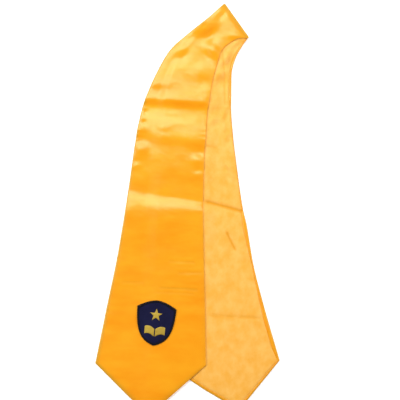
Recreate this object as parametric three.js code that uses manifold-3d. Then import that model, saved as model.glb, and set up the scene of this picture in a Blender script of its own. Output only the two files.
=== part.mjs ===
// A graduation stole in gold satin, folded in half at the centre back of the neck and laid flat, the
// front arm over the back arm. Each arm is outer satin turned round the edge of a lining, and a shield
// patch is sewn near the front arm's point. Millimetres, +Z up: X runs across the arms and Y from the
// points up to the neck.
import * as THREE from 'three';
import { mergeVertices } from 'three/addons/utils/BufferGeometryUtils.js';
import Module from 'manifold-3d';

const wasm = await Module();
wasm.setup();

// Sizes of the laid stole
const DROP = 537; // from the top corner of the neck fold down to the corners where the points begin
const END_WIDTH = 165; // across the front arm at those corners
const FRONT_POINT = 78; // from the corners down to the front arm's tip
const BACK_POINT = 71; // the same on the back arm
const CREASE_RISE = 4; // height of the tallest packing crease

// Cloth walls and the gaps between plies
const SATIN = 1;
const LINING = 1;
const PLY_GAP = 0.3; // between the satin and its lining
const ARM_GAP = 0.6; // between the linings of the two arms
const SEAM_GAP = 0.3; // across the centre back seam
const TURNED_EDGE = 3; // width of satin turned round the edge of the lining

// The shield patch and the emblem on it
const PATCH_WIDTH = 59;
const PATCH_HEIGHT = 68;
const PATCH_ARCH = 11; // rise of the top edge between the shoulders
const PATCH_ABOVE_POINT = 61; // from the corners of the point up to the middle of the patch
const PATCH_ACROSS = 0.51; // share of the way across the front arm to the middle of the patch
const PATCH_TILT = 5.7; // degrees, leaning with the arm
const PATCH_TWILL = 1.2;
const PATCH_BORDER = 3; // width of the overlocked border
const BORDER_THICKNESS = 1.9;
const SEWN_GAP = 0.3; // under the patch, and round and under what is sewn on it
const THREAD = 1; // thickness of the raised embroidery
const STAR_RADIUS = 10;
const STAR_UP = 12; // from the middle of the patch up to the middle of the star
const BOOK_WIDTH = 31;
const BOOK_HEIGHT = 15;
const BOOK_DOWN = 13; // from the middle of the patch down to the middle of the open book
const SPINE_GAP = 1.4; // between the pages

// One row for each section across the laid stole, from the neck fold down to the corners of the points.
// Each edge lies so many end widths to the right of the fold's top corner, and so many drops below it.
// hidden is where the back arm's covered edge lies, as a share of the way across the front arm. rise is
// the height of the crease along the section, in crease rises, and sharp is 1 on a pressed crease and 0
// on a soft one.
const SECTIONS = [
  { outer: [0, 0], inner: [0.22, 0.095], back: [0.22, 0.095], hidden: 0, rise: 0, sharp: 0 },
  { outer: [-0.153, 0.043], inner: [0.124, 0.098], back: [0.171, 0.116], hidden: 0.15, rise: 0.6, sharp: 0 },
  { outer: [-0.318, 0.082], inner: [-0.008, 0.126], back: [0.113, 0.148], hidden: 0.26, rise: 0.55, sharp: 0 },
  { outer: [-0.484, 0.128], inner: [-0.058, 0.169], back: [0.078, 0.185], hidden: 0.29, rise: 0.55, sharp: 0 },
  { outer: [-0.609, 0.193], inner: [-0.104, 0.221], back: [0.072, 0.232], hidden: 0.29, rise: 0.7, sharp: 0 },
  { outer: [-0.709, 0.263], inner: [-0.131, 0.276], back: [0.069, 0.285], hidden: 0.34, rise: 1, sharp: 1 },
  { outer: [-0.736, 0.287], inner: [-0.145, 0.298], back: [0.071, 0.308], hidden: 0.37, rise: 0, sharp: 0 },
  { outer: [-0.784, 0.352], inner: [-0.163, 0.38], back: [0.096, 0.394], hidden: 0.4, rise: 0.9, sharp: 0 },
  { outer: [-0.798, 0.38], inner: [-0.171, 0.41], back: [0.109, 0.425], hidden: 0.41, rise: 0.6, sharp: 0.5 },
  { outer: [-0.816, 0.416], inner: [-0.176, 0.447], back: [0.124, 0.461], hidden: 0.43, rise: 0.64, sharp: 0 },
  { outer: [-0.865, 0.518], inner: [-0.185, 0.55], back: [0.181, 0.576], hidden: 0.47, rise: 0, sharp: 1 },
  { outer: [-0.893, 0.576], inner: [-0.185, 0.58], back: [0.207, 0.609], hidden: 0.49, rise: 1, sharp: 0 },
  { outer: [-0.967, 0.707], inner: [-0.176, 0.713], back: [0.275, 0.729], hidden: 0.54, rise: 0.2, sharp: 0 },
  { outer: [-1.049, 0.827], inner: [-0.167, 0.833], back: [0.369, 0.842], hidden: 0.59, rise: 0, sharp: 0 },
  { outer: [-1.165, 1.001], inner: [-0.158, 1.006], back: [0.511, 0.993], hidden: 0.64, rise: 0, sharp: 0 },
];

// Puckers, one row each. The middle lies so many end widths across and so many drops down from the
// fold's top corner, and long and wide are how far it spreads each way, in end widths. turn is in
// degrees from X, rise is a share of the crease rise, and slope is that of the middle.
const PUCKERS = [
  { across: -0.14, down: 0.054, long: 0.091, wide: 0.055, turn: -25, rise: 0.25, slope: 0 },
  { across: -0.076, down: 0.1265, long: 0.082, wide: 0.041, turn: -45, rise: 0.25, slope: 0 },
  { across: -0.376, down: 0.118, long: 0.064, wide: 0.045, turn: 35, rise: 0.25, slope: 0 },
  { across: -0.151, down: 0.072, long: 0.1, wide: 0.091, turn: 30, rise: 0, slope: 0.46 },
  { across: -0.127, down: 0.136, long: 0.079, wide: 0.052, turn: -40, rise: 0, slope: 0.45 },
  { across: -0.385, down: 0.139, long: 0.061, wide: 0.05, turn: 42, rise: 0, slope: 0.42 },
  { across: -0.739, down: 0.389, long: 0.058, wide: 0.079, turn: -8, rise: 0, slope: -0.36 },
  { across: -0.224, down: 0.424, long: 0.064, wide: 0.061, turn: -8, rise: 0, slope: -0.4 },
];
const LAST = SECTIONS.length - 1;
const POINT_START = LAST - 1; // the section below which the rows turn into the point
const ROWS_PER_SECTION = 3;
const NECK_TURN = [Math.PI / 2, Math.PI / 3, Math.PI / 6]; // rows round the neck fold, from the seam
const SETTLING = [1, 5]; // sections between which the front arm's outer edge comes down to the surface
const SETTLED_AT = 0.5; // share of the front arm's free stretch that lies on the surface

// Every ply lies between two distances from the plane midway between the arms
const LINING_PLY = { near: ARM_GAP / 2, far: ARM_GAP / 2 + LINING };
const SATIN_PLY = { near: LINING_PLY.far + PLY_GAP, far: LINING_PLY.far + PLY_GAP + SATIN };

// stops are the columns across an arm: 0 to 1 lead to its middle knot and 1 to 2 on to its other edge.
// tip is the one that runs to the point.
const FRONT = { side: 1, point: FRONT_POINT, tip: 0.745, stops: [0.25, SETTLED_AT, 0.745, 1, 1.33, 1.67] };
const BACK = { side: -1, point: BACK_POINT, tip: 1.45, stops: [0.33, 0.67, 1, 1.22, 1.45, 1.72] };

const edgeCurve = (edge) =>
  new THREE.CatmullRomCurve3(
    SECTIONS.map(({ [edge]: [across, down] }) => new THREE.Vector3(across * END_WIDTH, -down * DROP, 0)),
  );
const ORIGIN = new THREE.Vector2(0, 0);
const OUTER_EDGE = edgeCurve('outer');
const INNER_EDGE = edgeCurve('inner');
const BACK_EDGE = edgeCurve('back');
const LAST_LENGTH = (SECTIONS[LAST].outer[1] - SECTIONS[POINT_START].outer[1]) * DROP; // of the last row

// The two rows either side of a place down the stole, and how far it lies between them
function rowsAt(place) {
  const index = Math.min(Math.floor(place), LAST - 1);
  return [SECTIONS[index], SECTIONS[index + 1], place - index];
}

// A cubic between two rows, flat at a soft crease and straight at a pressed one
function riseAt(place) {
  const [above, below, t] = rowsAt(place);
  const soft = 3 * t ** 2 - 2 * t ** 3;
  const ease = soft + above.sharp * (t ** 3 - 2 * t ** 2 + t) + below.sharp * (t ** 3 - t ** 2);
  return CREASE_RISE * THREE.MathUtils.lerp(above.rise, below.rise, ease);
}

function puckersAt(x, y) {
  return PUCKERS.reduce((sum, row) => {
    const turn = THREE.MathUtils.degToRad(row.turn);
    const away = new THREE.Vector2(x - row.across * END_WIDTH, y + row.down * DROP);
    away.rotateAround(ORIGIN, -turn);
    const spread = (away.x / row.long) ** 2 + (away.y / row.wide) ** 2;
    return sum + (CREASE_RISE * row.rise + row.slope * away.y) * Math.exp(-spread / END_WIDTH ** 2);
  }, 0);
}

// The line across one arm at a place down the stole: its two edges with the middle knot between them
function knotsAt(arm, place) {
  const outer = OUTER_EDGE.getPoint(place / LAST);
  const inner = INNER_EDGE.getPoint(place / LAST);
  const [above, below, t] = rowsAt(place);
  const hidden = outer.clone().lerp(inner, THREE.MathUtils.lerp(above.hidden, below.hidden, t));
  return arm === FRONT ? [outer, hidden, inner] : [hidden, inner, BACK_EDGE.getPoint(place / LAST)];
}

// A point of one arm, on the plane midway between the arms, and the height of that plane above the
// surface. inset keeps the point that far inside both edges.
function clothPoint(arm, place, stop, inset) {
  const [first, middle, last] = knotsAt(arm, place);
  const firstLength = first.distanceTo(middle);
  const length = firstLength + middle.distanceTo(last);
  const reach = (at) => (at < 1 ? at * firstLength : firstLength + (at - 1) * (length - firstLength));
  const along = THREE.MathUtils.clamp(reach(stop), inset, length - inset);
  const point =
    along < firstLength
      ? first.clone().lerp(middle, along / firstLength)
      : middle.clone().lerp(last, (along - firstLength) / Math.max(length - firstLength, 1e-9));

  if (place > POINT_START) {
    const toTip = reach(arm.tip);
    const tent = along < toTip ? along / toTip : (length - along) / (length - toTip);
    point.y -= (arm.point * tent * (place - POINT_START)) / (LAST - POINT_START);
  }

  point.z = SATIN_PLY.far + Math.max(0, riseAt(place) + puckersAt(point.x, point.y));
  if (arm === FRONT && along < firstLength) {
    const lowered = Math.min(1, (1 - along / firstLength) / (1 - SETTLED_AT));
    const settled = THREE.MathUtils.clamp((place - SETTLING[0]) / (SETTLING[1] - SETTLING[0]), 0, 1);
    point.z -= settled * lowered * (SATIN_PLY.far + LINING_PLY.near);
  }
  return point;
}

// Away from the arms, square to the neck fold
const FOLD_LINE = INNER_EDGE.getPoint(0).sub(OUTER_EDGE.getPoint(0));
const FOLD_OUT = new THREE.Vector3(-FOLD_LINE.y, FOLD_LINE.x, 0).normalize();

// A point of a ply at a distance from the mid plane. turn is the angle round the neck fold, and 0 on the
// arm itself.
function plyPoint(arm, row, stop, inset, distance) {
  const point = clothPoint(arm, row.place, stop, inset);
  const up = row.turn === NECK_TURN[0] ? SEAM_GAP / 2 : distance * Math.cos(row.turn);
  return point.addScaledVector(FOLD_OUT, distance * Math.sin(row.turn)).setZ(point.z + arm.side * up);
}

// The rows of a ply, from the seam round the neck fold and down the arm to short of its end by an inset
function plyRows(inset) {
  const end = LAST - inset / LAST_LENGTH;
  const rows = NECK_TURN.map((turn) => ({ place: 0, turn }));
  for (let step = 0; step / ROWS_PER_SECTION < end; step += 1) {
    rows.push({ place: step / ROWS_PER_SECTION, turn: 0 });
  }
  return [...rows, { place: end, turn: 0 }];
}

// A closed solid from a grid of point pairs, one on each face of the ply. Grid lines that run together
// are merged.
function solidFromGrid(grid) {
  const columns = grid[0].length;
  const positions = [];
  const put = (a, b, c) => [a, b, c].forEach((p) => positions.push(p.x, p.y, p.z));
  const quad = (a, b, c, d) => {
    put(a, b, c);
    put(a, c, d);
  };
  const wall = (one, other) => quad(one.far, one.near, other.near, other.far);
  grid.slice(1).forEach((lower, r) => {
    const upper = grid[r];
    for (let c = 1; c < columns; c += 1) {
      quad(upper[c - 1].far, lower[c - 1].far, lower[c].far, upper[c].far);
      quad(upper[c - 1].near, upper[c].near, lower[c].near, lower[c - 1].near);
    }
    wall(upper[0], lower[0]);
    wall(lower[columns - 1], upper[columns - 1]);
  });
  for (let c = 1; c < columns; c += 1) {
    wall(grid[0][c], grid[0][c - 1]);
    wall(grid.at(-1)[c - 1], grid.at(-1)[c]);
  }
  const loose = new THREE.BufferGeometry();
  loose.setAttribute('position', new THREE.Float32BufferAttribute(positions, 3));
  const geometry = mergeVertices(loose, 1e-3);
  const index = geometry.index.array;
  const kept = [];
  for (let i = 0; i < index.length; i += 3) {
    const [a, b, c] = index.slice(i, i + 3);
    if (a !== b && b !== c && c !== a) kept.push(a, b, c);
  }
  geometry.setIndex(kept);
  return geometry;
}

// The back arm is the front arm's mirror image, so its faces are turned to point outwards
function facingOut(geometry, arm) {
  if (arm.side < 0) geometry.setIndex(Array.from(geometry.index.array).reverse());
  return geometry;
}

// A plain ply of even thickness, kept inside the arm's outline by an inset
function plainPly(arm, ply, inset) {
  const stops = [0, ...arm.stops, 2];
  const grid = plyRows(inset).map((row) =>
    stops.map((stop) => ({
      near: plyPoint(arm, row, stop, inset, ply.near),
      far: plyPoint(arm, row, stop, inset, ply.far),
    })),
  );
  return facingOut(solidFromGrid(grid), arm);
}

// The outer satin: a ply with its two edges and its end turned round the edge of the lining, from just
// below the fold
function turnedPly(arm, ply, turnedTo) {
  const columns = [
    { stop: 0, inset: 0, turned: true },
    { stop: 0, inset: TURNED_EDGE, turned: true },
    ...[0, ...arm.stops, 2].map((stop) => ({ stop, inset: TURNED_EDGE, turned: false })),
    { stop: 2, inset: TURNED_EDGE, turned: true },
    { stop: 2, inset: 0, turned: true },
  ];
  const inside = plyRows(TURNED_EDGE);
  const rows = [
    ...inside.map((row) => ({ ...row, turned: false })),
    { ...inside.at(-1), turned: true },
    { place: LAST, turn: 0, turned: true },
  ];
  const grid = rows.map((row) =>
    columns.map(({ stop, inset, turned }) => {
      const near = row.turned || (turned && row.place > 0) ? turnedTo : ply.near;
      return {
        near: plyPoint(arm, row, stop, inset, near),
        far: plyPoint(arm, row, stop, inset, ply.far),
      };
    }),
  );
  return facingOut(solidFromGrid(grid), arm);
}

function toManifold(geometry) {
  const bare = new THREE.BufferGeometry();
  bare.setAttribute('position', geometry.getAttribute('position').clone());
  if (geometry.index) bare.setIndex(geometry.index);
  const merged = mergeVertices(bare, 1e-4);
  return new wasm.Manifold(
    new wasm.Mesh({
      numProp: 3,
      vertProperties: merged.attributes.position.array,
      triVerts: new Uint32Array(merged.index.array),
    }),
  );
}

function toGeometry(manifold) {
  const { vertProperties, triVerts } = manifold.getMesh();
  const geometry = new THREE.BufferGeometry();
  geometry.setAttribute('position', new THREE.BufferAttribute(vertProperties, 3));
  geometry.setIndex(new THREE.BufferAttribute(triVerts, 1));
  return geometry;
}

// The middle of the patch
const PATCH_PLACE = LAST - PATCH_ABOVE_POINT / LAST_LENGTH;
const PATCH_MIDDLE = (() => {
  const [outer, , inner] = knotsAt(FRONT, PATCH_PLACE);
  return outer.clone().lerp(inner, PATCH_ACROSS);
})();

// A layer of a sewn-on piece: what a flat shape cuts out of the front arm's surface, raised by a height
function sewnOn(shape, raised, thickness) {
  const near = SATIN_PLY.far + raised;
  const stops = [0, ...FRONT.stops, 2];
  const rows = plyRows(0).filter((row) => row.place >= POINT_START - 1);
  const layer = solidFromGrid(
    rows.map((row) =>
      stops.map((stop) => ({
        near: plyPoint(FRONT, row, stop, 0, near),
        far: plyPoint(FRONT, row, stop, 0, near + thickness),
      })),
    ),
  );
  const depth = 2 * (near + thickness + CREASE_RISE);
  const cutter = new THREE.ExtrudeGeometry(shape, { depth, bevelEnabled: false, curveSegments: 8 });
  cutter.rotateZ(-THREE.MathUtils.degToRad(PATCH_TILT));
  cutter.translate(PATCH_MIDDLE.x, PATCH_MIDDLE.y, 0);
  return toGeometry(toManifold(layer).intersect(toManifold(cutter)));
}

// A plain shield about its own middle, drawn in by an inset: an arched top, and sides that curve in to a
// blunt foot
function shieldPath(inset) {
  const half = PATCH_WIDTH / 2 - inset;
  const crown = PATCH_HEIGHT / 2 - inset;
  const shoulder = crown - PATCH_ARCH;
  const foot = -PATCH_HEIGHT / 2 + 1.05 * inset; // the sides meet there at an angle, so it draws in further
  return (path) =>
    path
      .moveTo(-half, shoulder)
      .bezierCurveTo(-0.96 * half, 0.17 * foot, -0.85 * half, 0.79 * foot, 0, foot)
      .bezierCurveTo(0.85 * half, 0.79 * foot, 0.96 * half, 0.17 * foot, half, shoulder)
      .bezierCurveTo(0.4 * half, crown, 0.04 * half, crown, 0, crown)
      .bezierCurveTo(-0.04 * half, crown, -0.4 * half, crown, -half, shoulder);
}

function shieldShape(inset) {
  return shieldPath(inset)(new THREE.Shape());
}

function borderShape() {
  const shape = shieldShape(0);
  shape.holes.push(shieldPath(PATCH_BORDER)(new THREE.Path()));
  return shape;
}

function starShape() {
  const points = Array.from({ length: 10 }, (_, i) => {
    const radius = i % 2 ? 0.42 * STAR_RADIUS : STAR_RADIUS;
    const angle = Math.PI / 2 + (i * Math.PI) / 5;
    return new THREE.Vector2(radius * Math.cos(angle), STAR_UP + radius * Math.sin(angle));
  });
  return new THREE.Shape(points);
}

// One page of the open book: side is -1 on the left and 1 on the right
function pageShape(side) {
  const spine = (side * SPINE_GAP) / 2;
  const edge = (side * BOOK_WIDTH) / 2;
  const top = -BOOK_DOWN + BOOK_HEIGHT / 2;
  const foot = -BOOK_DOWN - BOOK_HEIGHT / 2;
  const bow = 0.22 * BOOK_HEIGHT; // how far the page arches above its corners
  const shape = new THREE.Shape();
  shape.moveTo(spine, foot);
  shape.quadraticCurveTo((spine + edge) / 2, foot + 2 * bow, edge, foot + bow);
  shape.lineTo(edge, top);
  shape.quadraticCurveTo((spine + edge) / 2, top + bow, spine, top - bow);
  shape.lineTo(spine, foot);
  return shape;
}

const MATERIALS = {
  satin: new THREE.MeshStandardMaterial({ color: 0xfea823, roughness: 0.35, metalness: 0 }),
  lining: new THREE.MeshStandardMaterial({ color: 0xfcc65a, roughness: 0.5, metalness: 0 }),
  navy: new THREE.MeshStandardMaterial({ color: 0x1a1c40, roughness: 0.8, metalness: 0 }),
  border: new THREE.MeshStandardMaterial({ color: 0x14141f, roughness: 0.7, metalness: 0 }),
  gold: new THREE.MeshStandardMaterial({ color: 0xc9a93a, roughness: 0.45, metalness: 0 }),
};

const LINING_INSET = TURNED_EDGE + PLY_GAP;
const EMBLEM_RAISED = SEWN_GAP + PATCH_TWILL + SEWN_GAP;
const PIECES = {
  satin_front_arm: [turnedPly(FRONT, SATIN_PLY, LINING_PLY.near), MATERIALS.satin],
  satin_back_arm: [turnedPly(BACK, SATIN_PLY, LINING_PLY.near), MATERIALS.satin],
  lining_front_arm: [plainPly(FRONT, LINING_PLY, LINING_INSET), MATERIALS.lining],
  lining_back_arm: [plainPly(BACK, LINING_PLY, LINING_INSET), MATERIALS.lining],
  patch_border: [sewnOn(borderShape(), SEWN_GAP, BORDER_THICKNESS), MATERIALS.border],
  patch_ground: [sewnOn(shieldShape(PATCH_BORDER + SEWN_GAP), SEWN_GAP, PATCH_TWILL), MATERIALS.navy],
  emblem_star: [sewnOn(starShape(), EMBLEM_RAISED, THREAD), MATERIALS.gold],
  emblem_page_left: [sewnOn(pageShape(-1), EMBLEM_RAISED, THREAD), MATERIALS.gold],
  emblem_page_right: [sewnOn(pageShape(1), EMBLEM_RAISED, THREAD), MATERIALS.gold],
};

const stole = new THREE.Group();
for (const [name, [geometry, material]] of Object.entries(PIECES)) {
  const mesh = new THREE.Mesh(geometry, material);
  mesh.name = name;
  stole.add(mesh);
}

// The origin is on the surface that the stole lies on, under the middle of its outline
const box = new THREE.Box3().setFromObject(stole);
const middle = box.getCenter(new THREE.Vector3());
stole.position.set(-middle.x, -middle.y, -box.min.z);
const graduationStole = new THREE.Group().add(stole);

export default graduationStole;
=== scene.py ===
"""A gold satin graduation stole, folded at the centre back of the neck and laid flat on a pale table.

The front arm lies satin side up over the back arm, which shows its paler lining with the satin rolled round
the edges. A shield patch with raised embroidery is sewn near the front arm's point. Everything is in metres
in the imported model's frame: X across the arms, Y from the points up to the neck, Z up from the table.
"""

import bmesh
import bpy
import numpy as np
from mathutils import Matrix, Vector


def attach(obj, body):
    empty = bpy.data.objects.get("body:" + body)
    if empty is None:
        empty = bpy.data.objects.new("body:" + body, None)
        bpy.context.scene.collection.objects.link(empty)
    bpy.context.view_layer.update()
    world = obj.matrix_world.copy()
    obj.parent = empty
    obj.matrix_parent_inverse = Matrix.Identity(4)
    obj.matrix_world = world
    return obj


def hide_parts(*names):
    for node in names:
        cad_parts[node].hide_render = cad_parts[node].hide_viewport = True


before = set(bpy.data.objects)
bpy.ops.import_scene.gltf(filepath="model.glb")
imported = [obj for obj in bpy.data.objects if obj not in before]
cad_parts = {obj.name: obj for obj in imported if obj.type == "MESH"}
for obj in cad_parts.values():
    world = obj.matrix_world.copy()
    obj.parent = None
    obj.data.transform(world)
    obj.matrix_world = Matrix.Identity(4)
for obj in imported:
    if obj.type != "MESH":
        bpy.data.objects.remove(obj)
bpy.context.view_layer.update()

# Satin of the front arm
# The outer cloth of the arm that lies on top: polyester satin cut to a long curved strip with a pointed
# end. Its seam rolls just under the edge, and packing has left pressed creases across it and puckers round
# the neck.
FOLD_CORNER = np.array([0.05395, 0.30765])  # the outer end of the neck fold
FOLD_OUT = np.array([0.8182, 0.5750])  # the way out from the arms, square to the neck fold
END_WIDTH = 0.165
DROP = 0.537  # from the neck fold to the corners of the point
SATIN_TOP = 0.0026  # from the plane midway between the arms
LINING_UNDER = 0.0003
SATIN_WALL = 0.0004
SATIN_STEP = 0.0019  # between the rows of the mesh

# Each section across the laid stole: its outer edge, inner edge and the back arm's far edge, so many end
# widths across and drops down from the fold's outer corner, then the back arm's covered edge as a share of
# the front arm
SECTIONS = np.array(
    [
        [0, 0, 0.22, 0.095, 0.22, 0.095, 0],
        [-0.153, 0.043, 0.124, 0.098, 0.171, 0.116, 0.15],
        [-0.318, 0.082, -0.008, 0.126, 0.113, 0.148, 0.26],
        [-0.484, 0.128, -0.058, 0.169, 0.078, 0.185, 0.29],
        [-0.609, 0.193, -0.104, 0.221, 0.072, 0.232, 0.29],
        [-0.709, 0.263, -0.131, 0.276, 0.069, 0.285, 0.34],
        [-0.736, 0.287, -0.145, 0.298, 0.071, 0.308, 0.37],
        [-0.784, 0.352, -0.163, 0.38, 0.096, 0.394, 0.4],
        [-0.798, 0.38, -0.171, 0.41, 0.109, 0.425, 0.41],
        [-0.816, 0.416, -0.176, 0.447, 0.124, 0.461, 0.43],
        [-0.865, 0.518, -0.185, 0.55, 0.181, 0.576, 0.47],
        [-0.893, 0.576, -0.185, 0.58, 0.207, 0.609, 0.49],
        [-0.967, 0.707, -0.176, 0.713, 0.275, 0.729, 0.54],
        [-1.049, 0.827, -0.167, 0.833, 0.369, 0.842, 0.59],
        [-1.165, 1.001, -0.158, 1.006, 0.511, 0.993, 0.64],
    ]
)
LAST = len(SECTIONS) - 1
LAST_LENGTH = (SECTIONS[LAST, 1] - SECTIONS[LAST - 1, 1]) * DROP
OUTER_EDGE, INNER_EDGE, BACK_EDGE = (SECTIONS[:, k : k + 2] * [END_WIDTH, -DROP] for k in (0, 2, 4))

# Where each arm differs: which side of the mid plane it is on, how far its point runs past the corners,
# where the tip is, as a share of the way to its middle knot up to 1 and on to its far edge up to 2, its
# seam's gathers, and how strongly painted shade darkens the cloth towards its far edge
FRONT = {"side": 1, "point": 0.078, "tip": 0.745, "gather": 0.0008, "gather_reach": 0.006, "far_edge_shade": 0.2}
BACK = {"side": -1, "point": 0.071, "tip": 1.45, "gather": 0.0013, "gather_reach": 0.009, "far_edge_shade": 0.65}

# Creases across the stole: each section's rise in crease heights, and how sharply the crease there breaks
CREASE_HEIGHT = 0.004
CREASES = np.array(
    [
        [0, 0],
        [0.1, 0],
        [0.15, 0],
        [0.25, 0],
        [0.48, 0],
        [1, 1],
        [0, 0],
        [0.9, 0],
        [0.6, 0.5],
        [0.64, 0],
        [0, 1],
        [1, 0],
        [0.2, 0],
        [0, 0],
        [0, 0],
    ]
)

# Puckers: the side they are on, 0 for both arms, then middle x and y, spread along and across in metres,
# turn in degrees, height, and the slope of the middle
PUCKERS = np.array(
    [
        # round the neck
        [0, 0.0308, 0.2787, 0.0150, 0.0090, -25, 0.0010, 0],
        [0, 0.0414, 0.2397, 0.0135, 0.0067, -45, 0.0010, 0],
        [0, -0.0081, 0.2442, 0.0105, 0.0075, 35, 0.0010, 0],
        [0, 0.0234, 0.2112, 0.0165, 0.0082, 0, 0.0003, 0],
        [0, 0.0290, 0.2690, 0.0165, 0.0150, 30, 0, 0.46],
        [0, 0.0210, 0.2640, 0.0110, 0.0090, 20, 0, 0.30],
        [0, 0.0320, 0.2630, 0.0090, 0.0070, 55, 0, 0.30],
        [0, 0.0495, 0.2920, 0.0080, 0.0052, 40, 0, 0.44],
        [0, 0.0230, 0.2770, 0.0085, 0.0055, 42, 0, 0.28],
        [0, 0.0330, 0.2335, 0.0120, 0.0090, -42, 0, 0.50],
        [0, -0.0095, 0.2330, 0.0100, 0.0082, 42, 0, 0.42],
        [0, 0.0225, 0.2000, 0.0090, 0.0130, 12, 0, 0.13],
        [0, -0.0430, 0.1830, 0.0190, 0.0080, 0, 0, 0.20],
        [0, 0.0750, 0.2550, 0.0130, 0.0060, -8, 0, 0.40],
        # along the pressed creases
        [0, 0.0340, 0.1560, 0.0055, 0.0080, 0, 0, -0.42],
        [0, -0.0240, 0.1330, 0.0200, 0.0070, -3, 0, -0.12],
        [0, -0.0330, 0.1190, 0.0120, 0.0060, -3, 0, 0.16],
        [0, -0.0680, 0.0985, 0.0095, 0.0130, -8, 0, -0.36],
        [0, -0.0765, 0.0700, 0.0060, 0.0050, 0, 0, -0.26],
        [0, 0.0170, 0.0800, 0.0105, 0.0100, -8, 0, -0.40],
        [0, 0.0170, 0.0560, 0.0075, 0.0055, 0, 0, -0.28],
        # the front arm's own
        [1, -0.0630, 0.1460, 0.0035, 0.0032, 0, -0.0012, 0],
        [1, -0.0652, 0.1310, 0.0045, 0.0036, 0, -0.0014, 0],
        [1, -0.0230, -0.1200, 0.0230, 0.0030, -4, 0, 0.12],
        [1, -0.0060, -0.1290, 0.0180, 0.0028, -6, 0, 0.11],
        [1, 0.0060, -0.0910, 0.0190, 0.0030, -3, 0, 0.10],
        [1, 0.0100, -0.0990, 0.0140, 0.0028, 2, 0, 0.08],
        # the back arm's own, where its lining shows
        [-1, 0.0580, 0.2470, 0.0090, 0.0080, 40, 0, 0.55],
        [-1, 0.0625, 0.2260, 0.0120, 0.0050, 75, 0, 0.75],
        [-1, 0.0510, 0.2170, 0.0120, 0.0060, 40, 0, 0.60],
        [-1, 0.0480, 0.1980, 0.0100, 0.0110, 10, 0, 0.52],
        [-1, 0.0730, 0.2470, 0.0080, 0.0050, 45, 0, 0.60],
        [-1, 0.0560, 0.1400, 0.0100, 0.0040, 70, 0, 0.55],
        [-1, 0.0565, 0.1220, 0.0080, 0.0040, 95, 0, 0.50],
        [-1, 0.0400, 0.1310, 0.0080, 0.0070, 20, 0, 0.45],
        [-1, 0.0610, 0.1080, 0.0060, 0.0045, 60, 0, 0.45],
        [-1, 0.0590, 0.0630, 0.0060, 0.0040, -60, 0, 0.80],
        [-1, 0.0640, 0.0500, 0.0050, 0.0035, -80, 0, 0.70],
        [-1, 0.0380, 0.0440, 0.0120, 0.0070, -50, 0, 0.20],
    ]
)

# Narrow crease lines: the side they are on, the two ends, the half-width and the depth
CREASE_LINES = np.array(
    [
        [1, -0.0440, -0.1161, 0.0164, -0.1196, 0.0020, 0.0005],
        [1, -0.0474, -0.1230, 0.0112, -0.1256, 0.0018, 0.0003],
        [1, -0.0285, -0.0765, 0.0112, -0.0782, 0.0018, 0.0004],
        [1, -0.0147, -0.0945, 0.0220, -0.0938, 0.0018, 0.0004],
        [1, -0.1000, -0.1080, -0.0660, -0.1083, 0.0024, 0.0003],
        [-1, 0.0265, 0.0125, 0.0850, -0.0035, 0.0024, 0.0017],
        [-1, 0.0520, 0.2400, 0.0555, 0.2080, 0.0014, 0.0006],
        [-1, 0.0555, 0.2080, 0.0560, 0.1560, 0.0014, 0.0006],
        [-1, 0.0330, -0.1580, 0.1120, -0.1625, 0.0020, 0.0006],
        [-1, 0.0580, -0.0330, 0.0720, -0.0610, 0.0018, 0.0012],
        [-1, 0.0270, 0.0960, 0.0430, 0.0930, 0.0020, 0.0005],
    ]
)

LINE_RUNS_ON = 0.05  # share of its length that a crease line runs on past each end
LINE_FADES = 8  # its length is so many times that of the part that fades at each end
FULL_SHADE_DEPTH = 0.0014  # a crease line as deep as this gets the full painted shade
LOOSE = 0.0009  # how far the cloth stands off the table where it has no crease
FOLD_SWELL = 0.0032  # the arms swell apart from the neck fold by this much
FOLD_SOFT = 0.006
SWELL_REACH = 0.1
SETTLING = (1, 5)  # places between which the front arm's outer side comes down to the table
SETTLED_AT = 0.5  # share of the way from its outer edge to the back arm that lies on the table
SHOWN_SETTLES = 0.022  # from the front arm's edge, the back arm comes down over this width
SHOWN_KEEPS = 0.2  # share of its creases that it keeps there
SHOWN_STARTS = 0.008  # from the front arm's edge, its own puckers come in over this width
EDGE_PRESSED = 0.55  # share of its thickness that the bagged edge has lost, and how far in it recovers
EDGE_SOFT = 0.003
TOP_EDGE_PRESSED = 0.6  # the same where the front arm's edge lies on the back arm
TOP_EDGE_SOFT = 0.010
NECK_LOOSE = 3  # place from which the front arm's outer edge is fully pressed; it rolls softly at the neck
NECK_PRESSED = 0.2  # share of the pressing that it has there
FOLD_KEEPS = 0.5  # place by which any pressing has come in, because the neck fold keeps its thickness
TABLE_GAP = 0.0003
PLY_SQUASHED = 0.5  # share of its height over the lowest ply that a ply keeps where it is down on the table
PAINTED_SHADE_WIDTH = 0.0035  # painted shade darkens the satin over about this width along its sides and the neck fold
HEM_SHADE_WIDTH = 0.0022  # the same painted shade on the hem, strong only near the fold of the edge
FOLD_SHADE = 0.75  # how strongly painted shade darkens the cloth along the neck fold
ROLL = (SATIN_TOP - LINING_UNDER) * (1 - EDGE_PRESSED) / 2
WAVES = np.random.default_rng(7).uniform(-1, 1, (14, 3))
LARGE_RIPPLES = (0.034, 0.00018)  # their size and height
SMALL_RIPPLES = (0.015, 0.00005)
CALM_FROM = -0.31  # towards the points the ripples fade, over this height and to this share
CALM_OVER = 0.1
CALM_SHARE = 0.35


def smooth(t):
    """Smooth step: 3 t squared minus 2 t cubed, held between 0 and 1."""
    t = np.clip(t, 0, 1)
    return t**2 * (3 - 2 * t)


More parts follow.
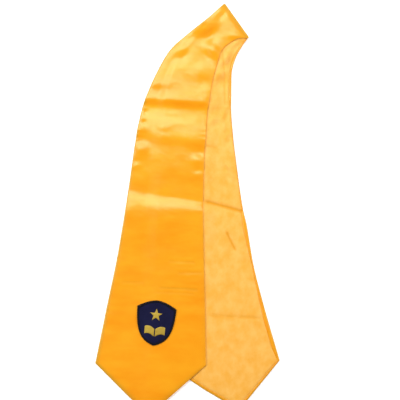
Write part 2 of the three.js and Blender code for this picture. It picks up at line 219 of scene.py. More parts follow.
def along_edge(edge, place):
    """Centripetal curve through an edge's points, read at a place down the stole from 0 to LAST. Each
    stretch is a cubic whose end slopes blend those of the straight lines on either side, by the square
    roots of their lengths."""
    p = np.vstack([2 * edge[0] - edge[1], edge, 2 * edge[-1] - edge[-2]])
    i = np.clip(np.floor(place).astype(int), 0, LAST - 1)
    t = (place - i)[..., None]
    a, b, c, d = p[i], p[i + 1], p[i + 2], p[i + 3]
    ab, bc, cd = (
        np.maximum(np.linalg.norm(n - m, axis=-1, keepdims=True), 1e-9) ** 0.5
        for m, n in ((a, b), (b, c), (c, d))
    )
    into = ((b - a) / ab - (c - a) / (ab + bc) + (c - b) / bc) * bc
    out = ((c - b) / bc - (d - b) / (bc + cd) + (d - c) / cd) * bc
    return (
        b * (1 + 2 * t) * (1 - t) ** 2
        + c * t**2 * (3 - 2 * t)
        + into * t * (1 - t) ** 2
        - out * t**2 * (1 - t)
    )


def crease_height(place):
    """Height of the cloth's creases at a place down the stole: from each section to the next it goes by a
    smooth step, whose slope at a sharp crease doesn't level out."""
    rise, sharp = CREASES.T
    i = np.clip(np.floor(place).astype(int), 0, LAST - 1)
    t = place - i
    step = t**2 * (3 - 2 * t) + sharp[i] * t * (1 - t) ** 2 - sharp[i + 1] * t**2 * (1 - t)
    return CREASE_HEIGHT * (rise[i] + (rise[i + 1] - rise[i]) * step)


def pucker_height(side, x, y):
    """Sum of the puckers of one side: each is a height plus a slope times the distance across it, and fades
    by the exponential of minus the squared distance in its own turned spreads."""
    total = np.zeros_like(x)
    for _, mx, my, spread_along, spread_across, turn, height, slope in PUCKERS[PUCKERS[:, 0] == side]:
        c, s = np.cos(np.radians(turn)), np.sin(np.radians(turn))
        u = ((x - mx) * c + (y - my) * s) / spread_along
        w = ((y - my) * c - (x - mx) * s) / spread_across
        total += (height + slope * spread_across * w) * np.exp(-(u**2) - w**2)
    return total


def crease_lines(side, x, y):
    """Sum of one side's grooves: each is minus a depth, fading by the exponential of minus the squared
    distance from a line in its half-widths, and towards the line's ends. With it comes how strongly painted
    shade darkens the cloth there, from 0 to 1."""
    height, crease_shade = np.zeros_like(x), np.zeros_like(x)
    for _, x0, y0, x1, y1, half, depth in CREASE_LINES[CREASE_LINES[:, 0] == side]:
        long = np.hypot(x1 - x0, y1 - y0)
        dx, dy = (x1 - x0) / long, (y1 - y0) / long
        t = ((x - x0) * dx + (y - y0) * dy) / long
        off = ((y - y0) * dx - (x - x0) * dy) / half
        near = np.exp(-(off**2)) * smooth(LINE_FADES * np.minimum(t + LINE_RUNS_ON, 1 + LINE_RUNS_ON - t))
        height -= depth * near
        crease_shade = np.maximum(crease_shade, near * min(depth / FULL_SHADE_DEPTH, 1))
    return height, crease_shade


GATHER_SPACING = 0.0105
GATHER_DRIFT = 0.037  # the spacing drifts to and fro over this length
GATHER_GROUPS = 0.053  # stronger and weaker gathers take turns over this one
GATHER_LOW, LOW_SOFT, LOW_SHARE = 0.03, 0.05, 0.25  # below this they fade, over a length and to a share
GATHER_HIGH, HIGH_SOFT, HIGH_SHARE = 0.22, 0.06, 0.2  # and above this one


def gathers(arm, y, from_seam):
    """Small gathers where a seam draws the cloth in: a wave down the arm whose spacing drifts, strongest in
    the middle of the stole, fading by the exponential of minus the distance from the seam."""
    up_from_low = np.clip((y - GATHER_LOW) / LOW_SOFT, LOW_SHARE, 1)
    drawn_in = up_from_low * np.clip((GATHER_HIGH - y) / HIGH_SOFT, HIGH_SHARE, 1)
    drawn_in = drawn_in * (0.6 + 0.4 * np.sin(2 * np.pi * y / GATHER_GROUPS + 1.3))
    drift = 2.2 * np.sin(2 * np.pi * y / GATHER_DRIFT)
    wave = np.sin(2 * np.pi * y / GATHER_SPACING + drift + 40 * arm["point"])
    fade = np.exp(-np.maximum(from_seam, 0) / arm["gather_reach"])
    return arm["gather"] * drawn_in * (0.5 + 0.5 * wave) * fade


def ripple_height(x, y, size, height):
    """Sum of waves in seeded directions, 0.7 to 1.3 sizes long and each bent by a slower one, for the
    unevenness of pressed cloth. The height is shared out by the root of their number."""
    total = np.zeros_like(x)
    for i, (a, b, phase) in enumerate(WAVES):
        k = 2 * np.pi / (size * (0.7 + 0.6 * i / len(WAVES)))
        angle = np.pi * a
        along = x * np.cos(angle) + y * np.sin(angle)
        total += np.sin(k * along + np.pi * phase + 3 * b * np.sin(k * 0.37 * x))
    return height * total / len(WAVES) ** 0.5


def knots_across(arm, place):
    """The line across an arm at a place down the stole: its two edges, and between them the point where the
    other arm's edge crosses it."""
    outer, inner = along_edge(OUTER_EDGE, place), along_edge(INNER_EDGE, place)
    hidden = outer + (inner - outer) * np.interp(place, np.arange(LAST + 1), SECTIONS[:, 6])[..., None]
    return (outer, hidden, inner) if arm is FRONT else (hidden, inner, along_edge(BACK_EDGE, place))


UP_FOR_INSET = 1.4  # the slanting end is kept an inset inside by moving this much of it up the arm
INSET_FOR_UP = 0.85  # and so far up the arm is this share of it in from the slanting end


def arm_plan(arm, u, v, inset):
    """Plan of an arm. The outline's edges at a place down the stole are joined by a line through the middle
    knot, u runs along it and v down the arm, both kept an inset inside the outline, and the last rows slope
    out to the point. Gives the points, their place, how far along the line they are, the lengths of its two
    parts, and the distances from the nearest edge and from the neck fold."""
    place = v * (LAST - UP_FOR_INSET * inset / LAST_LENGTH)
    start, middle, end = knots_across(arm, place)
    first = np.linalg.norm(middle - start, axis=-1)
    second = np.linalg.norm(end - middle, axis=-1)
    length = first + second
    along = inset + u * (length - 2 * inset)
    near = np.clip(along / np.maximum(first, 1e-9), 0, 1)[..., None]
    far = np.clip((along - first) / np.maximum(second, 1e-9), 0, 1)[..., None]
    xy = start + (middle - start) * near + (end - middle) * far + FOLD_CORNER
    to_tip = min(arm["tip"], 1) * first + max(arm["tip"] - 1, 0) * second
    tent = np.minimum(along / np.maximum(to_tip, 1e-9), (length - along) / np.maximum(length - to_tip, 1e-9))
    xy[..., 1] -= arm["point"] * tent * np.maximum(0, place - (LAST - 1))
    edge = np.minimum(np.minimum(along, length - along), INSET_FOR_UP * (LAST - place) * LAST_LENGTH)
    from_fold = np.maximum((FOLD_CORNER - xy) @ FOLD_OUT, 0)
    return xy, place, along, first, second, edge, from_fold


def cloth_point(arm, u, v, turn, inset, distance):
    """Point of a ply, over the plan of its arm. It lies a distance from the plane midway between the arms,
    turned about the neck fold by turn. Its height is the sum of creases, puckers, gathers, crease lines and
    ripples, less what it has settled towards the table."""
    u, v, turn, inset, distance = np.broadcast_arrays(u, v, turn, inset, distance)
    xy, place, along, first, second, edge, from_fold = arm_plan(arm, u, v, inset)
    length = first + second
    x, y = xy[..., 0], xy[..., 1]

    swell = FOLD_SWELL * (1 - np.exp(-from_fold / FOLD_SOFT)) * np.exp(-from_fold / SWELL_REACH)
    relief = crease_height(place) + pucker_height(0, x, y) + swell
    own = pucker_height(arm["side"], x, y)
    if arm is FRONT:
        relief = relief + gathers(arm, y, edge) + own
    else:
        shown = smooth((along - first) / np.clip(second, 1e-6, SHOWN_SETTLES))
        relief = relief * (1 - (1 - SHOWN_KEEPS) * shown * np.clip(place, 0, 1))
        own = own * np.clip((along - first) / SHOWN_STARTS, 0, 1)
        relief = relief + gathers(arm, y, length - along) + own
    relief = relief + crease_lines(arm["side"], x, y)[0]
    uneven = ripple_height(x, y, *LARGE_RIPPLES) + ripple_height(y, x, *SMALL_RIPPLES)
    relief = relief + LOOSE + uneven * np.clip((y - CALM_FROM) / CALM_OVER, CALM_SHARE, 1)

    z = SATIN_TOP + relief
    # In this function the share is only how much of the edge's thickness is pressed out, in the geometry.
    pressing_and_painted_shade = EDGE_PRESSED * np.exp(-np.maximum(edge, 0) / EDGE_SOFT)
    if arm is FRONT:
        lowered = smooth((1 - along / np.maximum(first, 1e-9)) / (1 - SETTLED_AT))
        lowered = lowered * np.clip((place - SETTLING[0]) / (SETTLING[1] - SETTLING[0]), 0, 1)
        z = z - lowered * (SATIN_TOP + LINING_UNDER)
        pressing_and_painted_shade = pressing_and_painted_shade * np.clip(place / NECK_LOOSE, NECK_PRESSED, 1)
        on_top = TOP_EDGE_PRESSED * np.exp(-np.maximum(length - along, 0) / TOP_EDGE_SOFT)
        pressing_and_painted_shade = np.maximum(pressing_and_painted_shade, on_top)
        lowest, above = LINING_UNDER, distance - LINING_UNDER
    else:
        lowest, above = SATIN_TOP, SATIN_TOP - distance
    distance = lowest + (distance - lowest) * (1 - pressing_and_painted_shade * np.clip(place / FOLD_KEEPS, 0, 1))
    z = np.maximum(z + arm["side"] * distance * np.cos(turn), TABLE_GAP + PLY_SQUASHED * above)
    out = FOLD_OUT * (distance * np.sin(turn))[..., None]
    return np.concatenate([xy + out, z[..., None]], axis=-1)


FOLD_TURN = 88  # degrees that the first rows turn round the neck fold
FOLD_ROWS = 8


def arm_rows(step):
    """Rows down an arm, evenly spaced on its middle line, after the rows that turn round the neck fold."""
    fine = np.linspace(0, LAST, 2000)
    middle_line = (along_edge(OUTER_EDGE, fine) + along_edge(INNER_EDGE, fine)) / 2
    length = np.concatenate([[0], np.cumsum(np.linalg.norm(np.diff(middle_line, axis=0), axis=1))])
    down = np.interp(np.linspace(0, length[-1], int(length[-1] / step)), length, fine) / LAST
    turned = np.linspace(np.radians(FOLD_TURN), 0, FOLD_ROWS + 1)[:-1]
    return np.concatenate([np.zeros(len(turned)), down]), np.concatenate([turned, np.zeros(len(down))])


# How far the satin is rolled over the lining's edge: places down the stole, and the width there
HEM_WIDTHS = np.array(
    [
        [0, 0.0016],
        [1, 0.0020],
        [2, 0.0036],
        [4.5, 0.0036],
        [5.5, 0.0005],
        [9.1, 0.0005],
        [9.7, 0.0016],
        [10.4, 0.0046],
        [11.3, 0.0066],
        [12, 0.0024],
        [13.3, 0.0060],
        [13.8, 0.0050],
        [14, 0.0026],
    ]
)
HEM_MIDDLE = 0.6  # share of the hem's width to the middle row of its mesh
HEM_RISE = 0.0004  # the hem's inner edge stands up by this much


def hem_width(v):
    """Width of the hem at shares of the way down an arm, by straight lines between the rows of its
    table."""
    return np.interp(v * LAST, *HEM_WIDTHS.T)


def put_mesh(name, points, quads, uv, material):
    """Mesh object from a grid of points, rows of four point numbers and a UV pair for each point."""
    points, uv = points.reshape(-1, 3), uv.reshape(-1, 2)
    mesh = bpy.data.meshes.new(name)
    mesh.vertices.add(len(points))
    mesh.vertices.foreach_set("co", np.ascontiguousarray(points, np.float32).ravel())
    mesh.loops.add(quads.size)
    mesh.loops.foreach_set("vertex_index", np.ascontiguousarray(quads, np.int32).ravel())
    mesh.polygons.add(len(quads))
    mesh.polygons.foreach_set("loop_start", np.arange(0, quads.size, 4, dtype=np.int32))
    mesh.update(calc_edges=True)
    layer = mesh.uv_layers.new(name="cloth")
    layer.uv.foreach_set("vector", np.ascontiguousarray(uv[quads.ravel()], np.float32).ravel())
    mesh.polygons.foreach_set("use_smooth", np.full(len(quads), True))
    mesh.materials.append(material)
    mesh.validate()
    piece = bpy.data.objects.new(name, mesh)
    bpy.context.scene.collection.objects.link(piece)
    return piece


def grid_quads(number):
    """Quads between neighbouring rows and columns of a grid of point numbers."""
    return np.stack([number[:-1, :-1], number[1:, :-1], number[1:, 1:], number[:-1, 1:]], -1).reshape(-1, 4)


def show_painted_shade(piece, share):
    """Writes how strongly painted shade darkens the cloth at each point, from 0 to 1, for its material to
    read.
    """
    values = np.ascontiguousarray(share, np.float32).ravel()
    piece.data.attributes.new("pressing_and_painted_shade", "FLOAT", "POINT").data.foreach_set("value", values)
    return piece


def satin_sheet(name, arm, material, columns):
    """The face of an arm with its edge: a grid over the arm, then a profile carried round the outline from
    the seam down one side, across the point and up the other. The profile is half a circle of the roll's
    radius, then a flat hem that runs back inside under the arm. Painted shade darkens the satin near its
    sides, its hem and the neck fold, falling off by the exponential of minus the squared distance in shade
    widths, and along crease lines."""
    v, turn = arm_rows(SATIN_STEP)
    u = np.linspace(0, 1, columns)
    rows = len(v)
    face = cloth_point(arm, u[None, :], v[:, None], turn[:, None], ROLL, SATIN_TOP)
    number = np.arange(rows * columns).reshape(rows, columns)
    rim = np.concatenate([number[:, 0], number[-1, 1:], number[-2::-1, -1]])
    rim_u, rim_v, rim_turn = u[rim % columns], v[rim // columns], turn[rim // columns]
    angle = np.radians([65, 40, 15, -15, -40, -65, -90])
    hem = hem_width(rim_v)[:, None]
    inset = np.concatenate([ROLL * (1 - np.cos(angle))[None, :] + 0 * hem, HEM_MIDDLE * hem, hem], axis=1)
    rolled = LINING_UNDER + (SATIN_TOP - LINING_UNDER) * (1 + np.sin(angle)) / 2
    distance = np.concatenate([rolled, [LINING_UNDER, LINING_UNDER + HEM_RISE]])
    edge = cloth_point(arm, rim_u[:, None], rim_v[:, None], rim_turn[:, None], inset, distance[None, :])
    more = rows * columns + np.arange(edge.shape[0] * edge.shape[1]).reshape(edge.shape[:2])
    points = np.concatenate([face.reshape(-1, 3), edge.reshape(-1, 3)])
    edge_quads = grid_quads(np.concatenate([rim[:, None], more], axis=1))[:, ::-1]
    quads = np.concatenate([grid_quads(number), edge_quads])
    face_uv = np.stack(np.broadcast_arrays(u[None, :], v[:, None]), -1).reshape(-1, 2)
    edge_uv = np.repeat(np.stack([rim_u, rim_v], -1), edge.shape[1], axis=0)
    uv = np.concatenate([face_uv, edge_uv])
    piece = put_mesh(name, points, quads if arm is FRONT else quads[:, ::-1], uv, material)
    # Painted shade: the satin is drawn darker near its sides, on its rolled edge, along the neck fold and
    # along crease lines.
    from_edge, from_fold = arm_plan(arm, *np.broadcast_arrays(u[None, :], v[:, None], ROLL))[-2:]
    side_shade = np.exp(-((from_edge / PAINTED_SHADE_WIDTH) ** 2)) * (1 + (arm["far_edge_shade"] - 1) * u)
    fold_shade = FOLD_SHADE * np.exp(-((from_fold / PAINTED_SHADE_WIDTH) ** 2))
    hem_shade = np.exp(-((inset / HEM_SHADE_WIDTH) ** 2)) * (1 + (arm["far_edge_shade"] - 1) * rim_u[:, None])
    crease_shade = crease_lines(arm["side"], face[..., 0], face[..., 1])[1]
    pressing_and_painted_shade = np.maximum(np.maximum(side_shade, fold_shade), crease_shade)
    return show_painted_shade(piece, np.concatenate([pressing_and_painted_shade.ravel(), hem_shade.ravel()]))


def give_thickness(piece, wall):
    """Solidify inwards, so that the outer face stays where it is."""
    thick = piece.modifiers.new("thickness", "SOLIDIFY")
    thick.thickness = wall
    thick.offset = -1
    return piece


def add_node(material, kind, inputs=(), **settings):
    """Adds a shader node, sets its properties and values, and links the sockets that are given as
    inputs."""
    made = material.node_tree.nodes.new("ShaderNode" + kind)
    for key, value in settings.items():
        setattr(made, key, value)
    for key, value in dict(inputs).items():
        if isinstance(value, bpy.types.NodeSocket):
            material.node_tree.links.new(value, made.inputs[key])
        else:
            made.inputs[key].default_value = value
    return made


THREAD_HEIGHT = 0.0002
SHEEN_COLOUR = (1.0, 0.86, 0.55)  # gold cloth warms what it reflects


def cloth_material(
    name, colours, blotches, weave, depth, roughness, gloss, sheen_turned=0, bias=0, pressing_and_painted_shade=None
):
    """Woven cloth: a slow noise, so many blotches a metre each way, mixes two colours. A fine noise with so
    many threads a metre each way, turned by the bias in degrees, gives the floats of the weave their bump.
    The sheen is drawn out along the threads. A darker colour, if there is one, is painted shade: it comes in
    where the cloth's attribute is highest, along edges, folds and crease lines."""
    material = bpy.data.materials.new(name)
    material.use_nodes = True
    tree = material.node_tree
    shader = tree.nodes["Principled BSDF"]
    where = add_node(material, "TexCoord").outputs["Object"]
    slow = add_node(material, "Mapping", {"Vector": where, "Scale": blotches}).outputs["Vector"]
    slow = add_node(material, "TexNoise", {"Vector": slow, "Scale": 1, "Detail": 5, "Roughness": 0.6})
    mix = add_node(material, "ValToRGB", {"Fac": slow.outputs["Fac"]})
    mix.color_ramp.elements[0].position, mix.color_ramp.elements[1].position = 0.35, 0.65
    for element, colour in zip(mix.color_ramp.elements, colours):
        element.color = (*colour, 1)
    colour = mix.outputs["Color"]
    # A darker colour mixed in by the attribute: painted shade.
    if pressing_and_painted_shade:
        share = add_node(material, "Attribute", attribute_name="pressing_and_painted_shade").outputs["Fac"]
        over = add_node(material, "Mix", data_type="RGBA")
        for socket, value in ((over.inputs[0], share), (over.inputs[6], colour)):
            tree.links.new(value, socket)
        over.inputs[7].default_value = (*pressing_and_painted_shade, 1)
        colour = over.outputs[2]
    tree.links.new(colour, shader.inputs["Base Color"])
    turned = add_node(material, "Mapping", {"Vector": where, "Rotation": (0, 0, np.radians(bias))})
    threads = add_node(material, "Mapping", {"Vector": turned.outputs["Vector"], "Scale": weave})
    fine = add_node(material, "TexNoise", {"Vector": threads.outputs["Vector"], "Scale": 1, "Detail": 3})
    relief = {"Height": fine.outputs["Fac"], "Strength": depth, "Distance": THREAD_HEIGHT}
    bump = add_node(material, "Bump", relief)
    tree.links.new(bump.outputs["Normal"], shader.inputs["Normal"])
    shader.inputs["Roughness"].default_value = roughness
    shader.inputs["Specular IOR Level"].default_value = gloss
    shader.inputs["Specular Tint"].default_value = (*SHEEN_COLOUR, 1)
    shader.inputs["Anisotropic"].default_value = sheen_turned
    if sheen_turned:
        tangent = add_node(material, "Tangent", direction_type="UV_MAP", uv_map="cloth")
        tree.links.new(tangent.outputs["Tangent"], shader.inputs["Tangent"])
    return material


satin = cloth_material(
    "gold_satin",
    colours=[(0.89, 0.298, 0.0007), (0.92, 0.368, 0.006)],
    blotches=(14, 45, 30),
    weave=(90, 1500, 90),
    depth=0.25,
    roughness=0.32,
    gloss=0.9,
    sheen_turned=0.35,
    # The darker colour is painted shade along the edges, the neck fold and the crease lines.
    pressing_and_painted_shade=(0.56, 0.284, 0.014),
)
front_satin = give_thickness(satin_sheet("front_satin", FRONT, satin, 80), SATIN_WALL)
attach(front_satin, "root")
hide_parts("satin_front_arm")

# Satin of the back arm
# Cut alike and sewn to the front arm at the centre back of the neck. It lies satin side down, so only the
# roll of its edge shows, as a darker border round the lining, deepened by painted shade.
back_satin = give_thickness(satin_sheet("back_satin", BACK, satin, 72), SATIN_WALL)
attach(back_satin, "root")
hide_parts("satin_back_arm")

# Linings
# Paler cloth, bagged out to the satin all round just inside the edge, so its own edge dips into the seam.
# Both lie face to face inside the folded stole, and the back arm's shows beyond the front arm.
LINING_WALL = 0.0004
LINING_STEP = 0.0019
LINING_DIPS = np.array([0.0009, 0.0008, 0.0003])  # its last rows go down into the seam by these depths
LINING_LAPS = np.array([-0.0006, 0.0001, 0.0006])  # and lie so far in from the hem's inner edge
LINING_STARTS = 0.0012  # its face starts so far in from there


def lining_sheet(name, arm, material, columns):
    """The lining of an arm: a grid whose outer columns and last rows dip under the satin's hem. Painted
    shade darkens it along the crease lines."""
    v, turn = arm_rows(LINING_STEP)
    side = np.concatenate([[0, 0, 0], np.linspace(0, 1, columns), [1, 1, 1]])
    side_dip = np.concatenate([LINING_DIPS, np.zeros(columns), LINING_DIPS[::-1]])
    side_inset = np.concatenate([LINING_LAPS, np.full(columns, LINING_STARTS), LINING_LAPS[::-1]])
    down = np.concatenate([v, [1, 1, 1]])
    down_turn = np.concatenate([turn, [0, 0, 0]])
    end_dip = np.concatenate([np.zeros(len(v)), LINING_DIPS[::-1]])
    end_inset = np.concatenate([np.full(len(v), LINING_STARTS), LINING_LAPS[::-1]])
    inset = hem_width(down)[:, None] + np.minimum(side_inset[None, :], end_inset[:, None])
    distance = np.maximum(side_dip[None, :], end_dip[:, None]) + LINING_UNDER
    points = cloth_point(arm, side[None, :], down[:, None], down_turn[:, None], inset, distance)
    quads = grid_quads(np.arange(points.shape[0] * points.shape[1]).reshape(points.shape[:2]))
    uv = np.stack(np.broadcast_arrays(side[None, :], down[:, None]), -1)
    piece = put_mesh(name, points, quads[:, ::-1] if arm is FRONT else quads, uv, material)
    return show_painted_shade(piece, crease_lines(arm["side"], points[..., 0], points[..., 1])[1])


lining = cloth_material(
    "pale_lining",
    colours=[(0.86, 0.400, 0.052), (0.895, 0.480, 0.104)],
    blotches=(75, 60, 42),
    weave=(90, 1500, 90),
    depth=0.2,
    roughness=0.5,
    gloss=0.25,
    sheen_turned=0.3,
    # The darker colour is painted shade along the crease lines.
    pressing_and_painted_shade=(0.70, 0.29, 0.012),
)
for name, arm, cad_node, under in (
    ("front_lining", FRONT, "lining_front_arm", "back_lining"),
    ("back_lining", BACK, "lining_back_arm", "back_satin"),
):
    piece = give_thickness(lining_sheet(name, arm, lining, 76), LINING_WALL)
    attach(piece, "root")
    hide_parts(cad_node)

# Shield patch
# A ready-made badge: navy polyester twill cut to a shield, its edge bound all round with close overlock
# stitches in near-black thread. It is sewn flat on the front arm, above the point.
PATCH_WIDTH = 0.059
PATCH_HEIGHT = 0.068
PATCH_ARCH = 0.011  # rise of the top edge between the shoulders
PATCH_ABOVE_POINT = 0.061  # from the corners of the front arm's point up to the middle of the patch
PATCH_ACROSS = 0.51  # share of the way across the front arm to the middle of the patch
PATCH_TILT = 5.7
TWILL_TOP = 0.0008  # above the satin
TWILL_WALL = 0.0004
TWILL_TUCKED = 0.0007  # how far the twill runs on under the border
TWILL_DRAWN = 0.00035  # how far its rim is drawn down there
BORDER_WIDTH = 0.0032
BORDER_TOP = 0.0017
BORDER_THREAD = 0.00085  # spacing of the overlock stitches
THREAD_RIDGE = 0.1  # share of the border's size by which it swells at each
THREAD_SLANT = 0.35  # stitches by which its foot runs ahead of its top
PATCH_ROUND = 0.2  # length of the border

patch_place = np.array([LAST - PATCH_ABOVE_POINT / LAST_LENGTH])
patch_left, patch_right = along_edge(OUTER_EDGE, patch_place)[0], along_edge(INNER_EDGE, patch_place)[0]
patch_middle = FOLD_CORNER + patch_left + (patch_right - patch_left) * PATCH_ACROSS


def satin_height(x, y):
    """Height of the front arm's satin at points of the plan. The place on the arm is found by Newton's
    steps on the cloth's own formula, from about the middle of the patch, with its slopes taken from small
    differences."""
    u, v = np.full(np.shape(x), 0.5), np.full(np.shape(x), 0.93)
    tiny = 1e-5
    for _ in range(8):
        here = cloth_point(FRONT, u, v, 0, 0, SATIN_TOP)
        along = (cloth_point(FRONT, u + tiny, v, 0, 0, SATIN_TOP) - here) / tiny
        down = (cloth_point(FRONT, u, v + tiny, 0, 0, SATIN_TOP) - here) / tiny
        dx, dy = x - here[..., 0], y - here[..., 1]
        cross = along[..., 0] * down[..., 1] - along[..., 1] * down[..., 0]
        u = np.clip(u + (dx * down[..., 1] - dy * down[..., 0]) / cross, 0.01, 0.99)
        v = np.clip(v + (dy * along[..., 0] - dx * along[..., 1]) / cross, 0.7, 0.999)
    return cloth_point(FRONT, u, v, 0, 0, SATIN_TOP)[..., 2]


def on_patch(across, up, raised):
    """Puts points of the patch, given from its middle, on the satin: turned by the patch's tilt and
    raised."""
    c, s = np.cos(np.radians(-PATCH_TILT)), np.sin(np.radians(-PATCH_TILT))
    x = patch_middle[0] + across * c - up * s
    y = patch_middle[1] + across * s + up * c
    return np.stack([x, y, satin_height(x, y) + raised], -1)


def bezier(points, t):
    """Cubic curve through its first and last points, drawn towards the two between them."""
    a, b, c, d = (np.array(p) for p in points)
    t = t[:, None]
    return a * (1 - t) ** 3 + 3 * b * t * (1 - t) ** 2 + 3 * c * t**2 * (1 - t) + d * t**3


def shield_sides(inset):
    """Fine points round the shield, drawn in by an inset, clockwise from the top of the arch: four cubics,
    two that meet there and two that meet at the foot."""
    t = np.linspace(0, 1, 400)
    half, crown = PATCH_WIDTH / 2 - inset, PATCH_HEIGHT / 2 - inset
    shoulder, foot = crown - PATCH_ARCH, -PATCH_HEIGHT / 2 + 1.05 * inset
    arch = bezier([(0, crown), (0.04 * half, crown), (0.4 * half, crown), (half, shoulder)], t)
    flank = bezier([(half, shoulder), (0.96 * half, 0.17 * foot), (0.85 * half, 0.79 * foot), (0, foot)], t)
    right = np.concatenate([arch[:-1], flank])
    return np.concatenate([right, right[-2::-1] * [-1, 1]])


def shield(inset, share):
    """The shield drawn in by an inset, read at shares of the way round. Shares are of the length at no
    inset, so points at one share and different insets line up, also at the corners."""
    full, drawn_in = shield_sides(0), shield_sides(inset)
    length = np.concatenate([[0], np.cumsum(np.linalg.norm(np.diff(full, axis=0), axis=1))])
    at = np.interp(share * length[-1], length, np.arange(len(length)))
    return np.stack([np.interp(at, np.arange(len(drawn_in)), drawn_in[:, k]) for k in (0, 1)], -1)


def round_mesh(name, points, uv, material):
    """Mesh from a grid whose last row joins its first. Points that fall together, as at a middle, are
    merged."""
    number = np.arange(points.shape[0] * points.shape[1]).reshape(points.shape[:2])
    piece = put_mesh(name, points, grid_quads(np.concatenate([number, number[:1]])), uv, material)
    shape = bmesh.new()
    shape.from_mesh(piece.data)
    bmesh.ops.remove_doubles(shape, verts=shape.verts, dist=1e-7)
    shape.to_mesh(piece.data)
    shape.free()
    return piece


def twill_ground(material):
    """The twill inside the border: rings of the shield's outline shrinking to the middle, with the rim
    drawn down under the border by the exponential of minus the distance from it."""
    share = np.linspace(0, 1, 241)[:-1]
    ring = np.linspace(1, 0, 60)
    flat = shield(BORDER_WIDTH - TWILL_TUCKED, share)[:, None, :] * ring[None, :, None]
    drawn_down = TWILL_DRAWN * np.exp(-(1 - ring) / 0.03)[None, :] * np.ones((len(share), 1))
    points = on_patch(flat[..., 0], flat[..., 1], TWILL_TOP - drawn_down)
    return round_mesh("patch_twill", points, flat / PATCH_WIDTH, material)


def overlock_border(material):
    """The bound edge: a flattened tube round the shield, whose size swells and shrinks by a cosine at each
    stitch, slanted a little across the tube."""
    stitches = int(PATCH_ROUND / BORDER_THREAD)
    share = np.linspace(0, 1, stitches * 6 + 1)[:-1]
    around = np.radians(np.arange(0, 360, 30))
    outer, inner = shield(0, share), shield(BORDER_WIDTH, share)
    turn = share[:, None] * stitches + THREAD_SLANT * np.sin(around)[None, :]
    ridge = 1 + THREAD_RIDGE * np.cos(2 * np.pi * turn)
    across = 0.5 - 0.5 * np.cos(around)[None, :] * ridge
    flat = outer[:, None, :] + (inner - outer)[:, None, :] * across[..., None]
    rounded = 0.5 + 0.5 * np.sign(np.sin(around)) * np.abs(np.sin(around)) ** 0.8
    raised = BORDER_TOP * rounded[None, :] * ridge
    number = np.arange(raised.size).reshape(raised.shape)
    number = np.concatenate([number, number[:1]])
    number = np.concatenate([number, number[:, :1]], axis=1)
    uv = np.stack([across, share[:, None] * np.ones_like(across)], -1)
    points = on_patch(flat[..., 0], flat[..., 1], raised)
    return put_mesh("patch_overlock", points, grid_quads(number), uv, material)


navy_twill = cloth_material(
    "navy_twill",
    colours=[(0.005, 0.006, 0.030), (0.008, 0.009, 0.042)],
    blotches=(38, 38, 38),
    weave=(150, 2600, 150),
    depth=1.0,
    roughness=0.85,
    gloss=0.12,
    bias=45,
)
patch_twill = give_thickness(twill_ground(navy_twill), TWILL_WALL)
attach(patch_twill, "root")
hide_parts("patch_ground")

black_thread = cloth_material(
    "black_thread",
    colours=[(0.004, 0.005, 0.010), (0.006, 0.007, 0.014)],
    blotches=(38, 38, 38),
    weave=(900, 900, 900),
    depth=0.4,
    roughness=0.6,
    gloss=0.15,
)
patch_overlock = overlock_border(black_thread)
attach(patch_overlock, "root")
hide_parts("patch_border")

# Embroidery on the patch
# A star above an open book in gold rayon thread: satin stitches laid side by side over padding, so each
# shape stands up from the twill with rounded edges and shows the run of its thread.
STAR_RADIUS = 0.010
STAR_WAIST = 0.42  # share of it from the middle to the corners between the points
STAR_UP = 0.012
BOOK_WIDTH = 0.031
BOOK_HEIGHT = 0.015
BOOK_DOWN = 0.013
PAGE_BOW = 0.22  # share of the height by which a page bows up
SPINE_GAP = 0.0014
STITCH = 0.0005
STITCH_TOP = 0.0013
STITCH_DIP = 0.15  # share of the height by which it dips between two stitches
STITCH_UNDER = -0.3 * TWILL_TOP  # the rim of each shape, drawn under the face of the twill


def stitch_run(along):
    """Height of stitches laid side by side, as a share of the whole: a round for each stitch's width."""
    return 1 - STITCH_DIP + STITCH_DIP * np.abs(np.cos(np.pi * along / STITCH))


def padded_star(material):
    """Five-pointed star: rings of its outline shrinking to the middle, raised by the root of one minus the
    fifth power of the ring's share. The stitches run square to the axis of each point."""
    corner = np.arange(11)
    angle = np.pi / 2 - corner * np.pi / 5
    radius = np.where(corner % 2, STAR_WAIST * STAR_RADIUS, STAR_RADIUS)
    corners = radius[:, None] * np.stack([np.cos(angle), np.sin(angle)], -1)
    at = np.linspace(0, 10, 241)[:-1]
    outline = np.stack([np.interp(at, corner, corners[:, k]) for k in (0, 1)], -1)
    ring = np.concatenate([[1.0, 1.0], 1 - np.linspace(0, 1, 110) ** 1.15])
    flat = outline[:, None, :] * ring[None, :, None]
    axis = np.pi / 2 - 2 * np.round(at / 2) * np.pi / 5
    along = flat[..., 0] * np.cos(axis)[:, None] + flat[..., 1] * np.sin(axis)[:, None]
    raised = STITCH_TOP * (1 - ring[None, :] ** 5) ** 0.5 * stitch_run(along)
    raised[:, 0] = STITCH_UNDER
    points = on_patch(flat[..., 0], flat[..., 1] + STAR_UP, TWILL_TOP + raised)
    return round_mesh("star", points, flat / STAR_RADIUS, material)


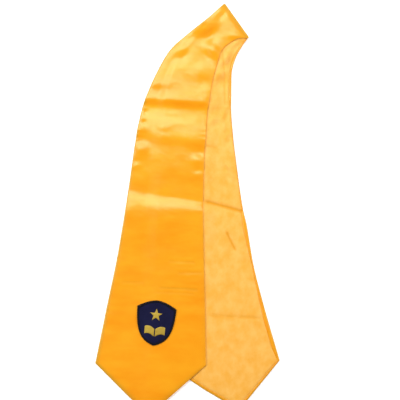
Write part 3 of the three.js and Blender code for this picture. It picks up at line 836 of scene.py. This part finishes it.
def padded_page(name, side, material):
    """One page of the open book: its foot and its top are quadratic curves that bow up from the spine, and
    the stitches run from one to the other, over padding that falls off steeply at all four edges."""
    t = np.concatenate([[0], np.linspace(0, 1, 200), [1]])[:, None]
    v = np.concatenate([[0], 0.5 - 0.5 * np.cos(np.linspace(0, np.pi, 40)), [1]])[None, :]
    top, foot, bow = -BOOK_DOWN + BOOK_HEIGHT / 2, -BOOK_DOWN - BOOK_HEIGHT / 2, PAGE_BOW * BOOK_HEIGHT
    low = foot * (1 - t) ** 2 + (foot + 2 * bow) * 2 * t * (1 - t) + (foot + bow) * t**2
    high = (top - bow) * (1 - t) ** 2 + (top + bow) * 2 * t * (1 - t) + top * t**2
    x = side * (SPINE_GAP / 2 + t * (BOOK_WIDTH - SPINE_GAP) / 2) + 0 * v
    padding = np.clip((1 - (2 * t - 1) ** 14) * (1 - (2 * v - 1) ** 8), 0, 1) ** 0.5
    raised = STITCH_TOP * padding * stitch_run(x)
    raised[[0, -1], :] = raised[:, [0, -1]] = STITCH_UNDER
    points = on_patch(x, low + (high - low) * v, TWILL_TOP + raised)
    number = np.arange(x.size).reshape(x.shape)
    quads = grid_quads(number if side < 0 else number[:, ::-1])
    return put_mesh(name, points, quads, np.stack([t + 0 * v, v + 0 * t], -1), material)


gold_thread = cloth_material(
    "gold_thread",
    colours=[(0.40, 0.26, 0.018), (0.50, 0.35, 0.04)],
    blotches=(38, 38, 38),
    weave=(900, 900, 900),
    depth=0.4,
    roughness=0.4,
    gloss=0.6,
)
for piece, cad_node in (
    (padded_star(gold_thread), "emblem_star"),
    (padded_page("left_page", -1, gold_thread), "emblem_page_left"),
    (padded_page("right_page", 1, gold_thread), "emblem_page_right"),
):
    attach(piece, "root")
    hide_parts(cad_node)

# Table, light and camera
# A pale table, lit from inside so that no shadow stands round the stole, under a large softbox beyond the
# neck end, with a softer light from either side, seen from straight above.
bpy.context.scene.view_settings.view_transform = "Standard"

pale = bpy.data.materials.new("pale_table")
pale.use_nodes = True
pale_shader = pale.node_tree.nodes["Principled BSDF"]
pale_shader.inputs["Base Color"].default_value = (0.95, 0.95, 0.95, 1)
pale_shader.inputs["Roughness"].default_value = 0.9
pale_shader.inputs["Specular IOR Level"].default_value = 0.1
pale_shader.inputs["Emission Color"].default_value = (1, 1, 1, 1)
pale_shader.inputs["Emission Strength"].default_value = 0.35

TABLE_REACH = 3
TABLE_LEVEL = -0.0004
table_corners = [
    (-TABLE_REACH, -TABLE_REACH, TABLE_LEVEL),
    (TABLE_REACH, -TABLE_REACH, TABLE_LEVEL),
    (TABLE_REACH, TABLE_REACH, TABLE_LEVEL),
    (-TABLE_REACH, TABLE_REACH, TABLE_LEVEL),
]
table_mesh = bpy.data.meshes.new("table")
table_mesh.from_pydata(table_corners, [], [(0, 1, 2, 3)])
table_mesh.materials.append(pale)
table = bpy.data.objects.new("table", table_mesh)
bpy.context.scene.collection.objects.link(table)

studio = bpy.data.worlds.new("studio")
studio.use_nodes = True
studio.node_tree.nodes["Background"].inputs["Color"].default_value = (1, 1, 1, 1)
studio.node_tree.nodes["Background"].inputs["Strength"].default_value = 0.12
bpy.context.scene.world = studio


def softbox(name, place, aim, width, height, power):
    """Rectangular area light at a place, turned to face an aim point."""
    lamp = bpy.data.lights.new(name, "AREA")
    lamp.shape = "RECTANGLE"
    lamp.size, lamp.size_y, lamp.energy = width, height, power
    box = bpy.data.objects.new(name, lamp)
    box.location = place
    box.rotation_euler = (Vector(aim) - Vector(place)).to_track_quat("-Z", "Y").to_euler()
    bpy.context.scene.collection.objects.link(box)


softbox("key", (-0.3, 0.90, 1.4), (0.0, 0.05, 0.0), 1.5, 1.1, 30)
softbox("left_fill", (-1.5, -0.10, 0.9), (0.0, -0.1, 0.0), 1.2, 0.9, 14.5)
softbox("right_fill", (1.5, -0.10, 0.9), (0.0, -0.1, 0.0), 1.2, 0.9, 14.5)

camera = bpy.data.objects.new("camera", bpy.data.cameras.new("camera"))
camera.data.lens = 85
camera.data.sensor_width = 36
camera.location = (0.0188, 0.0147, 1.417)
bpy.context.scene.collection.objects.link(camera)
bpy.context.scene.camera = camera
